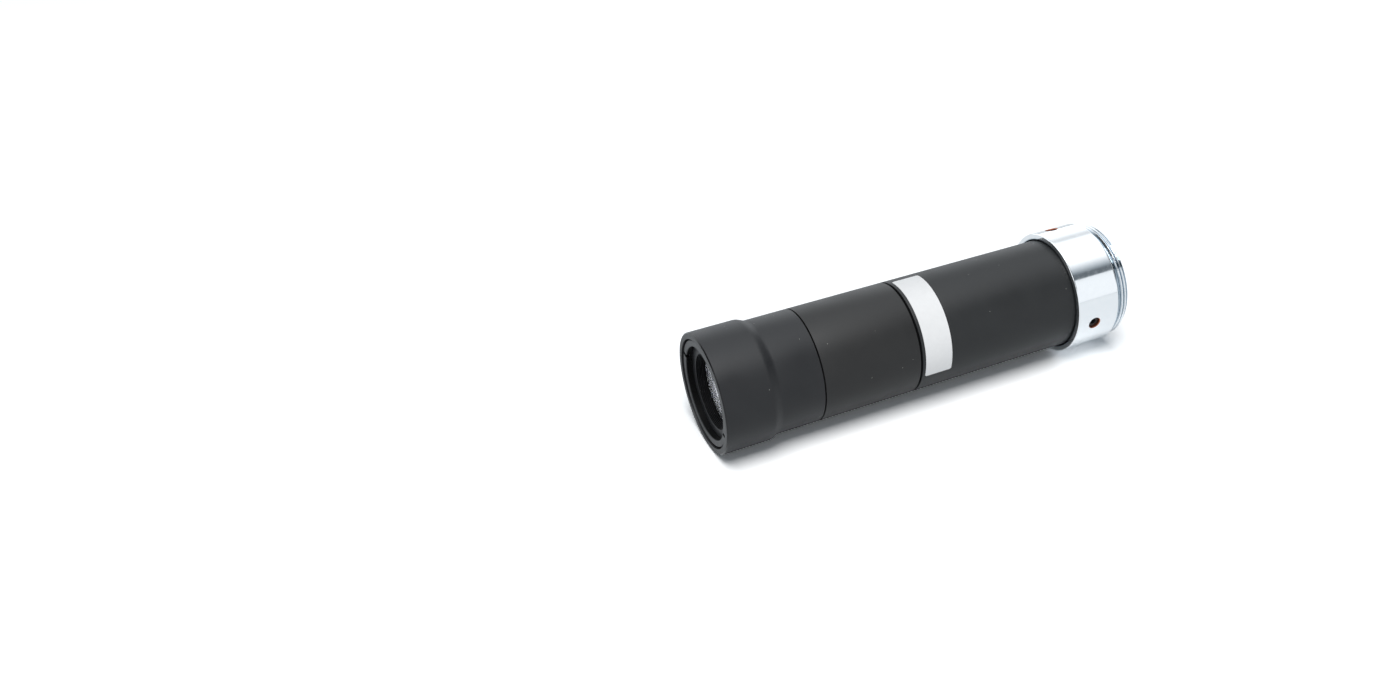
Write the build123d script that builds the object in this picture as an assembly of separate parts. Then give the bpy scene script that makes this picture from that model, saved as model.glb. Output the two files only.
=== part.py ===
from build123d import *
import math
import os

# A telecentric camera lens: three black barrels screwed end to end, a bright
# collar with the camera's thread, and the glass and rings that the barrels hold.
# Millimetres. The optical axis is Z, the camera thread's end face is z = 0 and
# the front rim is on top. A station is a distance behind the front rim, because
# the barrels are turned and loaded from there.

# Barrels
TUBE_DIAMETER = 24.0
HEAD_STEP = 0.7
HEAD_LENGTH = 10.0
NECK_LENGTH = 2.4
FRONT_BARREL_LENGTH = 21.5
MIDDLE_BARREL_LENGTH = 21.65
SEAM_GROOVE = 0.7
REAR_BARREL_LENGTH = 37.65
JOINT_DEPTH = 4.4
JOINT_WALL = 1.1
SPIGOT_WALL = 1.3
LIP_HEIGHT = 1.2
LIP_THICKNESS = 1.4
RIM_ROUND = 0.25
SEAM_CHAMFER = 0.15

# Fits, each a gap on the radius or along the axis
THREAD_CLEARANCE = 0.05
LENS_CLEARANCE = 0.03
COLLAR_CLEARANCE = 0.05
SEAT_GAP = 0.02
CEMENT_GAP = 0.02
LABEL_GLUE = 0.01

# Objective cell, loaded from the front
RIM_WALL = 1.5
RIM_LEAD = 0.2
RING_RECESS = 0.3
RING_THICKNESS = 1.4
RING_WIDTH = 1.4
RING_CHAMFER = 0.15
SLOT_WIDTH = 0.9
SLOT_DEPTH = 0.8
FRONT_SLOT_ANGLE = 158.0
SPACER_THICKNESS = 2.0
SPACER_WIDTH = 3.25
THREAD_RUNOUT = 0.2
CELL_STEP = 0.95
OBJECTIVE_FRONT_CURVE = 38.0
OBJECTIVE_CEMENT_CURVE = -34.0
OBJECTIVE_REAR_CURVE = -100.0
OBJECTIVE_CROWN_THICKNESS = 5.0
OBJECTIVE_FLINT_THICKNESS = 2.0
OBJECTIVE_LIP_HEIGHT = 1.0
BAFFLE_THICKNESS = 0.8
FRONT_BAFFLE_WIDTH = 2.25

# Relay lens and aperture stop, in the middle barrel
RELAY_CURVE = 45.0
RELAY_THICKNESS = 3.4
RELAY_DEPTH = 11.0
RELAY_RING_THICKNESS = 2.0
MIDDLE_BORE_RELIEF = 0.6
STOP_THICKNESS = 0.4
STOP_OPENING = 3.6
STOP_RING_THICKNESS = 1.9
STOP_RING_WIDTH = 2.5
STOP_MARGIN = 0.1

# Rear group, loaded from the camera's end of the rear barrel
REAR_LIP_DEPTH = 11.2
FLINT_FRONT_CURVE = -60.0
REAR_CEMENT_CURVE = 30.0
CROWN_REAR_CURVE = -35.0
REAR_FLINT_THICKNESS = 1.8
REAR_CROWN_THICKNESS = 5.2
FLINT_LAND = 0.9
SPACER_TUBE_WALL = 0.8
IMAGE_LENS_CURVE = 50.0
IMAGE_LENS_THICKNESS = 3.2
REAR_RING_THICKNESS = 2.0
REAR_RING_DEPTH = 8.7
REAR_BAFFLE_THICKNESS = 1.6
REAR_BAFFLE_WIDTH = 3.0
REAR_BAFFLE_RECESS = 0.8
REAR_SLOT_ANGLE = 20.0

# Camera collar, its shim and its set screws
COLLAR_WALL = 1.45
COLLAR_LENGTH = 10.4
COLLAR_DEPTH = 8.0
COLLAR_CHAMFER = 0.3
SHIM_THICKNESS = 0.3
SHIM_WIDTH = 1.6
CAMERA_THREAD_DIAMETER = 25.4
CAMERA_THREAD_LENGTH = 2.5
CAMERA_THREAD_CHAMFER = 0.3
RELIEF_WIDTH = 0.85
RELIEF_DEPTH = 0.6
SET_SCREW_COUNT = 3
SET_SCREW_DIAMETER = 2.7
SET_SCREW_LENGTH = 1.6
SET_SCREW_STATION = 4.3
SET_SCREW_ANGLE = 172.0
SET_SCREW_CHAMFER = 0.15
SET_SCREW_CLEARANCE = 0.02
SOCKET_ACROSS_FLATS = 1.3
SOCKET_DEPTH = 0.9
SCREW_GROOVE_DEPTH = 0.75
SCREW_GROOVE_MARGIN = 0.3

# Label on the rear barrel
LABEL_WIDTH = 6.2
LABEL_ARC = 120.0
LABEL_CENTRE_ANGLE = 224.0
LABEL_MARGIN = 0.45
LABEL_THICKNESS = 0.1

# Radii that follow from them
tube_radius = TUBE_DIAMETER / 2
head_radius = tube_radius + HEAD_STEP
joint_radius = tube_radius - JOINT_WALL
spigot_radius = joint_radius - THREAD_CLEARANCE
bore_radius = spigot_radius - SPIGOT_WALL
lip_radius = bore_radius - LIP_HEIGHT
ring_radius = bore_radius - THREAD_CLEARANCE
lens_radius = bore_radius - LENS_CLEARANCE
cell_thread_radius = head_radius - RIM_WALL
cell_ring_radius = cell_thread_radius - THREAD_CLEARANCE
cell_radius = cell_thread_radius - CELL_STEP
objective_radius = cell_radius - LENS_CLEARANCE
objective_clear_radius = cell_ring_radius - SPACER_WIDTH
objective_lip_radius = cell_radius - OBJECTIVE_LIP_HEIGHT
collar_bore_radius = tube_radius + COLLAR_CLEARANCE
collar_radius = collar_bore_radius + COLLAR_WALL
camera_thread_radius = CAMERA_THREAD_DIAMETER / 2
camera_bore_radius = tube_radius - SHIM_WIDTH
screw_groove_radius = tube_radius - SCREW_GROOVE_DEPTH
screw_hole_radius = SET_SCREW_DIAMETER / 2
screw_radius = screw_hole_radius - SET_SCREW_CLEARANCE


def sag(radius, curve):
    """How far a spherical surface lies behind its vertex at this radius."""
    return curve - math.copysign(math.sqrt(curve * curve - radius * radius), curve)


# Stations of the barrels, collar and camera thread
front_joint_end = FRONT_BARREL_LENGTH
middle_start = front_joint_end - JOINT_DEPTH
middle_end = front_joint_end + MIDDLE_BARREL_LENGTH
rear_shoulder = middle_end + SEAM_GROOVE
rear_start = middle_end - JOINT_DEPTH
collar_start = rear_shoulder + REAR_BARREL_LENGTH
collar_shoulder = collar_start + COLLAR_DEPTH
rear_end = collar_shoulder - SHIM_THICKNESS
flange_station = collar_start + COLLAR_LENGTH
thread_start = flange_station + RELIEF_WIDTH
total_length = thread_start + CAMERA_THREAD_LENGTH

# Stations of the glass, which seats on the corners of the rings and lips
spacer_start = RING_RECESS + RING_THICKNESS
spacer_end = spacer_start + SPACER_THICKNESS
objective_vertex = spacer_end + SEAT_GAP - sag(objective_clear_radius, OBJECTIVE_FRONT_CURVE)
objective_cement = objective_vertex + OBJECTIVE_CROWN_THICKNESS
flint_vertex = objective_cement + CEMENT_GAP
objective_rear = flint_vertex + OBJECTIVE_FLINT_THICKNESS
objective_lip = objective_rear + sag(objective_lip_radius, OBJECTIVE_REAR_CURVE) + SEAT_GAP
baffle_start = middle_start - BAFFLE_THICKNESS
relay_lip = middle_start + RELAY_DEPTH
relay_vertex = relay_lip - RELAY_THICKNESS
relay_ring_end = relay_vertex + sag(lip_radius, RELAY_CURVE) - SEAT_GAP
stop_ring_start = rear_start - STOP_MARGIN - STOP_RING_THICKNESS
stop_seat = stop_ring_start - STOP_THICKNESS
rear_lip = rear_start + REAR_LIP_DEPTH
rear_flint_vertex = rear_lip - sag(lens_radius - FLINT_LAND, FLINT_FRONT_CURVE)
rear_cement = rear_flint_vertex + REAR_FLINT_THICKNESS
rear_crown_vertex = rear_cement + CEMENT_GAP
rear_crown_end = rear_crown_vertex + REAR_CROWN_THICKNESS
spacer_tube_radius = ring_radius - SPACER_TUBE_WALL
spacer_tube_start = rear_crown_end + sag(spacer_tube_radius, CROWN_REAR_CURVE) + SEAT_GAP
rear_ring_end = rear_end - REAR_RING_DEPTH
image_lens_end = rear_ring_end - REAR_RING_THICKNESS
image_lens_vertex = image_lens_end - IMAGE_LENS_THICKNESS
spacer_tube_end = image_lens_vertex + sag(spacer_tube_radius, IMAGE_LENS_CURVE) - SEAT_GAP
rear_baffle_end = rear_end - REAR_BAFFLE_RECESS
screw_station = collar_start + SET_SCREW_STATION
label_start = rear_shoulder + LABEL_MARGIN


def at(radius, station):
    """A point of a turned outline, in the X-Z plane."""
    return (radius, 0, total_length - station)


def turned(*lines):
    """The solid swept by a closed outline of lines and arcs turned about the optical axis."""
    edges = [edge for line in lines for edge in line.edges()]
    return revolve(make_face(edges), Axis.Z)


def turned_points(points):
    """The solid swept by a straight-sided outline of (radius, station) corners."""
    corners = [at(radius, station) for radius, station in points]
    return turned(Polyline(*corners, corners[0]))


def ring(outer, inner, start, end):
    """A plain flat ring between two stations."""
    return turned_points([(inner, start), (outer, start), (outer, end), (inner, end)])


def surface_arc(vertex, curve, radius):
    """A lens surface's outline, from the optical axis out to this radius."""
    middle = radius / 2
    return ThreePointArc(
        at(0, vertex),
        at(middle, vertex + sag(middle, curve)),
        at(radius, vertex + sag(radius, curve)),
    )


def lens_element(radius, vertex, thickness, front_curve=None, rear_curve=None, land=0.0):
    """One ground element: each face is a sphere or flat, and land is a flat ring round the front face."""
    back = vertex + thickness
    face_radius = radius - land
    front_edge = vertex + sag(face_radius, front_curve)
    lines = [surface_arc(vertex, front_curve, face_radius)]
    if land:
        lines.append(Line(at(face_radius, front_edge), at(radius, front_edge)))
    if rear_curve is None:
        rear_edge = back
        lines.append(Line(at(0, back), at(radius, back)))
    else:
        rear_edge = back + sag(radius, rear_curve)
        lines.append(surface_arc(back, rear_curve, radius))
    lines.append(Line(at(radius, front_edge), at(radius, rear_edge)))
    lines.append(Line(at(0, vertex), at(0, back)))
    return turned(*lines)


def spanner_slots(radius, station, angle):
    """The bar that mills two slots, on one diameter, into a ring's face at this station."""
    bar = Box(2 * radius + SLOT_WIDTH, SLOT_WIDTH, 2 * SLOT_DEPTH)
    return Pos(0, 0, total_length - station) * Rot(0, 0, angle) * bar


def neck_arcs():
    """The two equal arcs that lead the head down to the tube."""
    middle_radius = (head_radius + tube_radius) / 2
    middle_station = HEAD_LENGTH + NECK_LENGTH / 2
    arc_radius = (NECK_LENGTH ** 2 + HEAD_STEP ** 2) / (4 * HEAD_STEP)
    half_turn = math.asin(NECK_LENGTH / 2 / arc_radius) / 2
    along = arc_radius * math.sin(half_turn)
    drop = arc_radius * (1 - math.cos(half_turn))
    shoulder = ThreePointArc(
        at(head_radius, HEAD_LENGTH),
        at(head_radius - drop, HEAD_LENGTH + along),
        at(middle_radius, middle_station),
    )
    hollow = ThreePointArc(
        at(middle_radius, middle_station),
        at(tube_radius + drop, HEAD_LENGTH + NECK_LENGTH - along),
        at(tube_radius, HEAD_LENGTH + NECK_LENGTH),
    )
    return [shoulder, hollow]


def front_barrel():
    """Head, neck and tube in one turning, bored for the objective and for the middle barrel's spigot."""
    rim_round = ThreePointArc(
        at(head_radius - RIM_ROUND, 0),
        at(head_radius - RIM_ROUND * (1 - math.sqrt(0.5)), RIM_ROUND * (1 - math.sqrt(0.5))),
        at(head_radius, RIM_ROUND),
    )
    cell_end = spacer_end + THREAD_RUNOUT
    lip_end = objective_lip + LIP_THICKNESS
    inside = Polyline(
        at(tube_radius, HEAD_LENGTH + NECK_LENGTH),
        at(tube_radius, front_joint_end - SEAM_CHAMFER),
        at(tube_radius - SEAM_CHAMFER, front_joint_end),
        at(joint_radius, front_joint_end),
        at(joint_radius, baffle_start),
        at(cell_radius, baffle_start),
        at(cell_radius, lip_end),
        at(objective_lip_radius, lip_end),
        at(objective_lip_radius, objective_lip),
        at(cell_radius, objective_lip),
        at(cell_radius, cell_end),
        at(cell_thread_radius, cell_end),
        at(cell_thread_radius, RIM_LEAD),
        at(cell_thread_radius + RIM_LEAD, 0),
        at(head_radius - RIM_ROUND, 0),
    )
    head_side = Line(at(head_radius, RIM_ROUND), at(head_radius, HEAD_LENGTH))
    return turned(rim_round, head_side, *neck_arcs(), inside)


def front_retaining_ring():
    """Screwed into the rim, with two spanner slots in its face."""
    inner = cell_ring_radius - RING_WIDTH
    body = turned_points([
        (inner + RING_CHAMFER, RING_RECESS),
        (cell_ring_radius - RING_CHAMFER, RING_RECESS),
        (cell_ring_radius, RING_RECESS + RING_CHAMFER),
        (cell_ring_radius, spacer_start),
        (inner, spacer_start),
        (inner, RING_RECESS + RING_CHAMFER),
    ])
    return body - spanner_slots(cell_ring_radius, RING_RECESS, FRONT_SLOT_ANGLE)


def front_spacer_ring():
    """Carries the retaining ring's push to the objective's rim."""
    return ring(cell_ring_radius, objective_clear_radius, spacer_start, spacer_end)


def objective_crown_lens():
    return lens_element(
        objective_radius, objective_vertex, OBJECTIVE_CROWN_THICKNESS,
        OBJECTIVE_FRONT_CURVE, OBJECTIVE_CEMENT_CURVE,
    )


def objective_flint_lens():
    return lens_element(
        objective_radius, flint_vertex, OBJECTIVE_FLINT_THICKNESS,
        OBJECTIVE_CEMENT_CURVE, OBJECTIVE_REAR_CURVE,
    )


def front_baffle_ring():
    """Trapped between the front barrel's step and the middle barrel's spigot."""
    return ring(spigot_radius, spigot_radius - FRONT_BAFFLE_WIDTH, baffle_start, middle_start)


def middle_barrel():
    """Spigot in front, relay lens cell, stop cell, and a socket for the rear barrel."""
    relief_radius = lip_radius + MIDDLE_BORE_RELIEF
    lip_end = relay_lip + LIP_THICKNESS
    return turned_points([
        (spigot_radius, middle_start),
        (spigot_radius, front_joint_end),
        (tube_radius - SEAM_CHAMFER, front_joint_end),
        (tube_radius, front_joint_end + SEAM_CHAMFER),
        (tube_radius, middle_end - SEAM_CHAMFER),
        (tube_radius - SEAM_CHAMFER, middle_end),
        (joint_radius, middle_end),
        (joint_radius, rear_start),
        (bore_radius, rear_start),
        (bore_radius, stop_seat),
        (relief_radius, stop_seat),
        (relief_radius, lip_end),
        (lip_radius, lip_end),
        (lip_radius, relay_lip),
        (bore_radius, relay_lip),
        (bore_radius, middle_start),
    ])


def relay_lens():
    return lens_element(lens_radius, relay_vertex, RELAY_THICKNESS, RELAY_CURVE)


def relay_retaining_ring():
    start = relay_ring_end - RELAY_RING_THICKNESS
    body = ring(ring_radius, lip_radius, start, relay_ring_end)
    return body - spanner_slots(ring_radius, start, FRONT_SLOT_ANGLE)


def aperture_stop():
    """The thin disc whose small hole makes the lens telecentric."""
    return ring(ring_radius, STOP_OPENING / 2, stop_seat, stop_ring_start)


def stop_retaining_ring():
    end = stop_ring_start + STOP_RING_THICKNESS
    body = ring(ring_radius, ring_radius - STOP_RING_WIDTH, stop_ring_start, end)
    return body - spanner_slots(ring_radius, end, REAR_SLOT_ANGLE)


def rear_barrel():
    """Spigot, groove shoulder, long tube for the rear group, and the end that the collar grips."""
    lip_front = rear_lip - LIP_THICKNESS
    groove_half = screw_radius + SCREW_GROOVE_MARGIN
    return turned_points([
        (spigot_radius, rear_start),
        (spigot_radius, rear_shoulder),
        (tube_radius - SEAM_CHAMFER, rear_shoulder),
        (tube_radius, rear_shoulder + SEAM_CHAMFER),
        (tube_radius, screw_station - groove_half),
        (screw_groove_radius, screw_station - groove_half),
        (screw_groove_radius, screw_station + groove_half),
        (tube_radius, screw_station + groove_half),
        (tube_radius, rear_end),
        (bore_radius, rear_end),
        (bore_radius, rear_lip),
        (lip_radius, rear_lip),
        (lip_radius, lip_front),
        (bore_radius, lip_front),
        (bore_radius, rear_start),
    ])


def rear_flint_lens():
    """Hollow in front, with a flat land that seats on the rear barrel's lip."""
    return lens_element(
        lens_radius, rear_flint_vertex, REAR_FLINT_THICKNESS,
        FLINT_FRONT_CURVE, REAR_CEMENT_CURVE, FLINT_LAND,
    )


def rear_crown_lens():
    return lens_element(
        lens_radius, rear_crown_vertex, REAR_CROWN_THICKNESS,
        REAR_CEMENT_CURVE, CROWN_REAR_CURVE,
    )


def rear_spacer_tube():
    return ring(ring_radius, spacer_tube_radius, spacer_tube_start, spacer_tube_end)


def image_side_lens():
    return lens_element(lens_radius, image_lens_vertex, IMAGE_LENS_THICKNESS, IMAGE_LENS_CURVE)


def rear_retaining_ring():
    body = ring(ring_radius, lip_radius, image_lens_end, rear_ring_end)
    return body - spanner_slots(ring_radius, rear_ring_end, REAR_SLOT_ANGLE)


def rear_baffle_ring():
    """Screwed into the barrel's end, against stray light on the sensor."""
    start = rear_baffle_end - REAR_BAFFLE_THICKNESS
    body = ring(ring_radius, ring_radius - REAR_BAFFLE_WIDTH, start, rear_baffle_end)
    return body - spanner_slots(ring_radius, rear_baffle_end, REAR_SLOT_ANGLE)


def mount_shim():
    """Sets the distance from the flange to the sensor."""
    return ring(tube_radius, camera_bore_radius, rear_end, collar_shoulder)


def radial(angle, distance, shape):
    """Turns a shape made along Z to point outward, at the set screws' station."""
    return Pos(0, 0, total_length - screw_station) * Rot(0, 0, angle) * Pos(distance, 0, 0) * Rot(0, 90, 0) * shape


def screw_angles():
    return [SET_SCREW_ANGLE + number * 360 / SET_SCREW_COUNT for number in range(SET_SCREW_COUNT)]


def mount_collar():
    """Slides on the rear barrel, held by set screws, and ends in the camera's thread."""
    relief_radius = camera_thread_radius - RELIEF_DEPTH
    body = turned_points([
        (collar_bore_radius, collar_start),
        (collar_radius - COLLAR_CHAMFER, collar_start),
        (collar_radius, collar_start + COLLAR_CHAMFER),
        (collar_radius, flange_station - COLLAR_CHAMFER),
        (collar_radius - COLLAR_CHAMFER, flange_station),
        (relief_radius, flange_station),
        (relief_radius, thread_start),
        (camera_thread_radius, thread_start),
        (camera_thread_radius, total_length - CAMERA_THREAD_CHAMFER),
        (camera_thread_radius - CAMERA_THREAD_CHAMFER, total_length),
        (camera_bore_radius, total_length),
        (camera_bore_radius, collar_shoulder),
        (collar_bore_radius, collar_shoulder),
    ])
    hole_length = 2 * COLLAR_WALL
    hole = Cylinder(screw_hole_radius, hole_length)
    mouth = Cone(screw_hole_radius, screw_hole_radius + 2 * SET_SCREW_CHAMFER, 2 * SET_SCREW_CHAMFER)
    for angle in screw_angles():
        body -= radial(angle, collar_radius - COLLAR_WALL / 2, hole)
        body -= radial(angle, collar_radius, mouth)
    return body


def set_screws():
    """Short grub screws with hexagon sockets, their tips in the rear barrel's groove."""
    blank = Cylinder(screw_radius, SET_SCREW_LENGTH)
    hexagon = RegularPolygon(SOCKET_ACROSS_FLATS / 2, 6, major_radius=False)
    socket = Pos(0, 0, SET_SCREW_LENGTH / 2 - SOCKET_DEPTH) * extrude(hexagon, SOCKET_DEPTH)
    screw = blank - socket
    middle = screw_groove_radius + SEAT_GAP + SET_SCREW_LENGTH / 2
    return Compound([radial(angle, middle, screw).solid() for angle in screw_angles()])


def label():
    """A strip stuck round part of the rear barrel."""
    inner = tube_radius + LABEL_GLUE
    strip = Polyline(
        at(inner, label_start),
        at(inner + LABEL_THICKNESS, label_start),
        at(inner + LABEL_THICKNESS, label_start + LABEL_WIDTH),
        at(inner, label_start + LABEL_WIDTH),
        at(inner, label_start),
    )
    wrapped = revolve(make_face(strip.edges()), Axis.Z, LABEL_ARC)
    return Rot(0, 0, LABEL_CENTRE_ANGLE - LABEL_ARC / 2) * wrapped


pieces = {
    "front_barrel": front_barrel,
    "front_retaining_ring": front_retaining_ring,
    "front_spacer_ring": front_spacer_ring,
    "objective_crown_lens": objective_crown_lens,
    "objective_flint_lens": objective_flint_lens,
    "front_baffle_ring": front_baffle_ring,
    "middle_barrel": middle_barrel,
    "relay_lens": relay_lens,
    "relay_retaining_ring": relay_retaining_ring,
    "aperture_stop": aperture_stop,
    "stop_retaining_ring": stop_retaining_ring,
    "rear_barrel": rear_barrel,
    "rear_flint_lens": rear_flint_lens,
    "rear_crown_lens": rear_crown_lens,
    "rear_spacer_tube": rear_spacer_tube,
    "image_side_lens": image_side_lens,
    "rear_retaining_ring": rear_retaining_ring,
    "rear_baffle_ring": rear_baffle_ring,
    "mount_shim": mount_shim,
    "mount_collar": mount_collar,
    "set_screws": set_screws,
    "label": label,
}

os.makedirs("parts", exist_ok=True)
for name, make in pieces.items():
    export_step(make(), "parts/" + name + ".step")
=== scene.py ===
import math

import bmesh
import bpy
from mathutils import Matrix, Vector


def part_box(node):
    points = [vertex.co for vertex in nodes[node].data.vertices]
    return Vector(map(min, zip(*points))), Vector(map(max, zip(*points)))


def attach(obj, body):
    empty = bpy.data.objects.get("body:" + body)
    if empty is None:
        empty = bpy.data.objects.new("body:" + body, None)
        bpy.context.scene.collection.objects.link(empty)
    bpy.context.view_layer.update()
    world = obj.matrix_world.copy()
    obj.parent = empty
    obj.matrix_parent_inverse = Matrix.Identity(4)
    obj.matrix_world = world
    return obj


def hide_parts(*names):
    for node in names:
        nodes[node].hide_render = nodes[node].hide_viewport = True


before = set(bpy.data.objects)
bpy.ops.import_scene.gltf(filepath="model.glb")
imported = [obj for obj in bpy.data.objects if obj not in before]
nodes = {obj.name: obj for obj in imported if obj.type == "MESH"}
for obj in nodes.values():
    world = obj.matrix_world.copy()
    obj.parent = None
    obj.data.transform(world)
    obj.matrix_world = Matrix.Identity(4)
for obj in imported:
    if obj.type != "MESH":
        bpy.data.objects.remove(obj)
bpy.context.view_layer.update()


# Front barrel
# The head, the S-curved neck and the first stretch of tube are one aluminium
# turning, bead blasted and black anodised. It screws onto the middle barrel.

MM = 0.001
ROUND_STEPS = 256
ON_AXIS = 1e-9


def eased(corners, steps=5):
    """Outline points from (radius, height, ease) corners, each corner rounded off by its ease."""
    points = []
    for number, (radius, height, ease) in enumerate(corners):
        corner = Vector((radius, height))
        if not ease:
            points.append(corner)
            continue
        before = Vector(corners[number - 1][:2]) - corner
        after = Vector(corners[(number + 1) % len(corners)][:2]) - corner
        start = corner + before.normalized() * ease
        end = corner + after.normalized() * ease
        for step in range(steps):
            t = step / (steps - 1)
            points.append(start * (1 - t) ** 2 + corner * 2 * t * (1 - t) + end * t ** 2)
    return points


def turned_mesh(name, outline, closed=True, sharp_degrees=28):
    """A mesh turned about the optical axis from outline points of radius and height."""
    rows = []
    form = bmesh.new()
    for radius, height in outline:
        if radius < ON_AXIS:
            rows.append([form.verts.new((0, 0, height))])
            continue
        angles = [2 * math.pi * step / ROUND_STEPS for step in range(ROUND_STEPS)]
        rows.append([form.verts.new((radius * math.cos(a), radius * math.sin(a), height)) for a in angles])
    pairs = list(zip(rows, rows[1:] + rows[:1])) if closed else list(zip(rows, rows[1:]))
    for low, high in pairs:
        for step in range(ROUND_STEPS):
            after = (step + 1) % ROUND_STEPS
            if len(low) == 1 and len(high) == 1:
                break
            if len(low) == 1:
                form.faces.new((low[0], high[after], high[step]))
            elif len(high) == 1:
                form.faces.new((low[step], low[after], high[0]))
            else:
                form.faces.new((low[step], low[after], high[after], high[step]))
    bmesh.ops.recalc_face_normals(form, faces=form.faces)
    mesh = bpy.data.meshes.new(name)
    form.to_mesh(mesh)
    form.free()
    mesh.shade_smooth()
    mesh.set_sharp_from_angle(angle=math.radians(sharp_degrees))
    return mesh


def place(name, mesh, material, slot, *replaced):
    """Puts a finished mesh in the scene, on the one body, in its material and in place of its CAD nodes."""
    piece = bpy.data.objects.new(name, mesh)
    bpy.context.scene.collection.objects.link(piece)
    if material is not None:
        mesh.materials.clear()
        mesh.materials.append(material)
    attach(piece, "root")
    if replaced:
        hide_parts(*replaced)
    return piece


def new_group(name, inputs, outputs):
    """An empty shader group with named inputs and outputs, and its two end nodes."""
    tree = bpy.data.node_groups.new(name, "ShaderNodeTree")
    for label, kind, value in inputs:
        socket = tree.interface.new_socket(label, in_out="INPUT", socket_type=kind)
        if value is not None:
            socket.default_value = value
    for label, kind in outputs:
        tree.interface.new_socket(label, in_out="OUTPUT", socket_type=kind)
    return tree, tree.nodes.new("NodeGroupInput"), tree.nodes.new("NodeGroupOutput")


def math_node(tree, operation, first, second=None, third=None, clamp=False):
    """A math node whose operands are numbers or sockets, and its result."""
    node = tree.nodes.new("ShaderNodeMath")
    node.operation = operation
    node.use_clamp = clamp
    for socket, value in zip(node.inputs, (first, second, third)):
        if value is None:
            continue
        if isinstance(value, (int, float)):
            socket.default_value = value
        else:
            tree.links.new(value, socket)
    return node.outputs[0]


def noise(tree, vector, scale, detail=2.0, roughness=0.5):
    """A noise texture's value on this vector."""
    node = tree.nodes.new("ShaderNodeTexNoise")
    node.inputs["Detail"].default_value = detail
    node.inputs["Roughness"].default_value = roughness
    tree.links.new(vector, node.inputs["Vector"])
    if isinstance(scale, (int, float)):
        node.inputs["Scale"].default_value = scale
    else:
        tree.links.new(scale, node.inputs["Scale"])
    return node.outputs["Fac"]


def spread(tree, value, low, high):
    """Stretches a value so that low becomes 0 and high becomes 1, clamped."""
    node = tree.nodes.new("ShaderNodeMapRange")
    node.inputs["From Min"].default_value = low
    node.inputs["From Max"].default_value = high
    tree.links.new(value, node.inputs["Value"])
    return node.outputs[0]


def blasted_grain_group():
    """The fine even grain that bead blasting leaves under the anodising."""
    tree, start, end = new_group(
        "blasted_grain",
        [("Vector", "NodeSocketVector", None), ("Grain per metre", "NodeSocketFloat", 6000.0)],
        [("Height", "NodeSocketFloat"), ("Cloud", "NodeSocketFloat")],
    )
    vector = start.outputs["Vector"]
    grain = noise(tree, vector, start.outputs["Grain per metre"], 3.0, 0.65)
    cloud = noise(tree, vector, 160.0, 3.0, 0.55)
    tree.links.new(grain, end.inputs["Height"])
    tree.links.new(spread(tree, cloud, 0.3, 0.7), end.inputs["Cloud"])
    return tree


SPECK_SIZE = 0.045


def dust_group():
    """Sparse pale specks of dust, each in one cell of a fine lattice."""
    tree, start, end = new_group(
        "dust_specks",
        [
            ("Vector", "NodeSocketVector", None),
            ("Cells per metre", "NodeSocketFloat", 260.0),
            ("Share of cells", "NodeSocketFloat", 0.03),
        ],
        [("Mask", "NodeSocketFloat")],
    )
    cells = tree.nodes.new("ShaderNodeTexVoronoi")
    cells.inputs["Randomness"].default_value = 1.0
    tree.links.new(start.outputs["Vector"], cells.inputs["Vector"])
    tree.links.new(start.outputs["Cells per metre"], cells.inputs["Scale"])
    near = math_node(tree, "LESS_THAN", cells.outputs["Distance"], SPECK_SIZE)
    split = tree.nodes.new("ShaderNodeSeparateColor")
    tree.links.new(cells.outputs["Color"], split.inputs[0])
    chosen = math_node(tree, "LESS_THAN", split.outputs[0], start.outputs["Share of cells"])
    tree.links.new(math_node(tree, "MULTIPLY", near, chosen), end.inputs["Mask"])
    return tree


blasted_grain = blasted_grain_group()
dust_specks = dust_group()


def new_material(name):
    """An empty node material with its shader, its surface output and Object coordinates."""
    material = bpy.data.materials.new(name)
    material.use_nodes = True
    tree = material.node_tree
    shader = tree.nodes["Principled BSDF"]
    coordinates = tree.nodes.new("ShaderNodeTexCoord").outputs["Object"]
    return material, tree, shader, coordinates


def use_group(tree, group, vector, **values):
    """Places a shader group on this vector, with its named inputs set."""
    node = tree.nodes.new("ShaderNodeGroup")
    node.node_tree = group
    tree.links.new(vector, node.inputs["Vector"])
    for label, value in values.items():
        node.inputs[label.replace("_", " ").capitalize()].default_value = value
    return node.outputs


def blend_colours(tree, factor, low, high):
    """Mixes two colours, or a colour socket and a colour, by a mask."""
    node = tree.nodes.new("ShaderNodeMix")
    node.data_type = "RGBA"
    tree.links.new(factor, node.inputs["Factor"])
    colour_sockets = [socket for socket in node.inputs if socket.type == "RGBA"]
    for socket, value in zip(colour_sockets, (low, high)):
        if isinstance(value, tuple):
            socket.default_value = (*value, 1.0)
        else:
            tree.links.new(value, socket)
    return [socket for socket in node.outputs if socket.type == "RGBA"][0]


def bump(tree, shader, height, strength, depth):
    """Feeds a height into the shader's normal."""
    node = tree.nodes.new("ShaderNodeBump")
    node.inputs["Strength"].default_value = strength
    node.inputs["Distance"].default_value = depth
    tree.links.new(height, node.inputs["Height"])
    tree.links.new(node.outputs[0], shader.inputs["Normal"])


DUST_COLOUR = (0.22, 0.22, 0.20)
ANODISED_IOR = 1.42


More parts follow.
